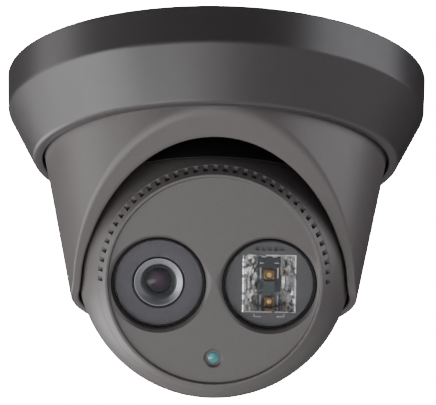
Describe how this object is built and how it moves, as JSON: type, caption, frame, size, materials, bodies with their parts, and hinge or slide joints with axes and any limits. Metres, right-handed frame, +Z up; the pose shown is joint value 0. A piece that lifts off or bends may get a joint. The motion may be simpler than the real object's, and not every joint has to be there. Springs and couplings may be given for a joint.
{
  "type": "dome cctv camera",
  "caption": "Ceiling turret camera: round trim ring, tapered housing with a slanted opening, and an eyeball with a lens window and an infrared lamp window.",
  "frame": {"origin": "centre of the mounting face that lies against the ceiling", "axes": "+Z up into the ceiling, -Y the way the camera looks at rest, +X to the right seen from in front"},
  "size_m": [0.1274, 0.1274, 0.0987],
  "materials": {
    "base_plastic": "moulded black",
    "rubber": "black elastomer",
    "bearing_plastic": "natural acetal",
    "ring_paint": "satin charcoal paint, a little darker",
    "steel": "zinc-plated steel",
    "housing_paint": "satin charcoal paint",
    "black_plastic": "fine matt black",
    "ball_paint": "satin charcoal paint",
    "window_glass": "clear flat window",
    "surround_plastic": "fine spark-eroded grain",
    "barrel_metal": "bead-blasted, grey anodised",
    "lens_glass": "coated lens, purple reflection",
    "coil_copper": "varnished copper winding",
    "sensor_silicon": "ceramic package with a dark die",
    "board_green": "solder-masked board",
    "ir_window_glass": "smoked flat window",
    "reflector_chrome": "vacuum-metallised",
    "board_white": "white-masked aluminium-core board",
    "led_package": "ceramic package, clear silicone over the die",
    "heat_sink_metal": "plain extruded",
    "light_pipe_plastic": "tinted clear light pipe",
    "chassis_metal": "pressed sheet",
    "chip_plastic": "moulded package",
    "pad_rubber": "soft thermal pad",
    "socket_plastic": "natural nylon",
    "filter_glass": "blue-green infrared-cut pane in its frame"
  },
  "bodies": {
    "base": {"mounting_base": "base_plastic", "base_gasket": "rubber", "pan_washer": "bearing_plastic"},
    "trim": {"trim_ring": "ring_paint", "lock_screw": "steel"},
    "turret": {"housing": "housing_paint", "trunnion_cap": "black_plastic", "cap_screw_1": "steel", "cap_screw_2": "steel", "cap_screw_3": "steel"},
    "cradle": {"gimbal_ring": "black_plastic"},
    "eyeball": {"rear_shell": "ball_paint", "shell_seal": "rubber", "front_shell": "ball_paint", "face_gasket": "rubber", "face_cover": "ball_paint", "lens_window": "window_glass", "lens_window_seal": "rubber", "lens_surround": "surround_plastic", "lens_barrel": "barrel_metal", "front_lens": "lens_glass", "rear_lens": "lens_glass", "lens_holder": "black_plastic", "filter_coil": "coil_copper", "image_sensor": "sensor_silicon", "sensor_board": "board_green", "ir_window": "ir_window_glass", "ir_window_seal": "rubber", "ir_mask": "black_plastic", "ir_reflector": "reflector_chrome", "ir_board": "board_white", "ir_led_1": "led_package", "ir_led_2": "led_package", "heat_sink": "heat_sink_metal", "light_pipe": "light_pipe_plastic", "light_sensor": "board_green", "chassis": "chassis_metal", "main_board": "board_green", "processor": "chip_plastic", "thermal_pad": "pad_rubber", "cable_socket": "socket_plastic", "cable_gland": "black_plastic", "gland_cap": "black_plastic", "gland_nut": "black_plastic", "standoff_1": "steel", "standoff_2": "steel", "standoff_3": "steel", "standoff_4": "steel", "shell_screw_1": "steel", "shell_screw_2": "steel", "shell_screw_3": "steel", "face_screw_1": "steel", "face_screw_2": "steel", "face_screw_3": "steel", "face_screw_4": "steel"},
    "ir_cut": {"cut_filter": "filter_glass"}
  },
  "joints": [
    {"name": "ring_twist", "type": "hinge", "parent": "base", "child": "trim", "pos_m": [0, 0, 0], "axis": [0, 0, 1], "range_deg": [0, 20]},
    {"name": "pan", "type": "hinge", "parent": "base", "child": "turret", "pos_m": [0, 0, 0], "axis": [0, 0, 1], "range_deg": [-180, 180]},
    {"name": "tilt", "type": "hinge", "parent": "turret", "child": "cradle", "pos_m": [0, 0, -0.0575], "axis": [1, 0, 0], "range_deg": [-15, 60]},
    {"name": "roll", "type": "hinge", "parent": "cradle", "child": "eyeball", "pos_m": [0, 0, -0.0575], "axis": [0, -0.866, -0.5], "range_deg": [-180, 180]},
    {"name": "filter_slide", "type": "slide", "parent": "eyeball", "child": "ir_cut", "axis": [0, 0.5, -0.866], "range_m": [0, 0.0065]}
  ]
}
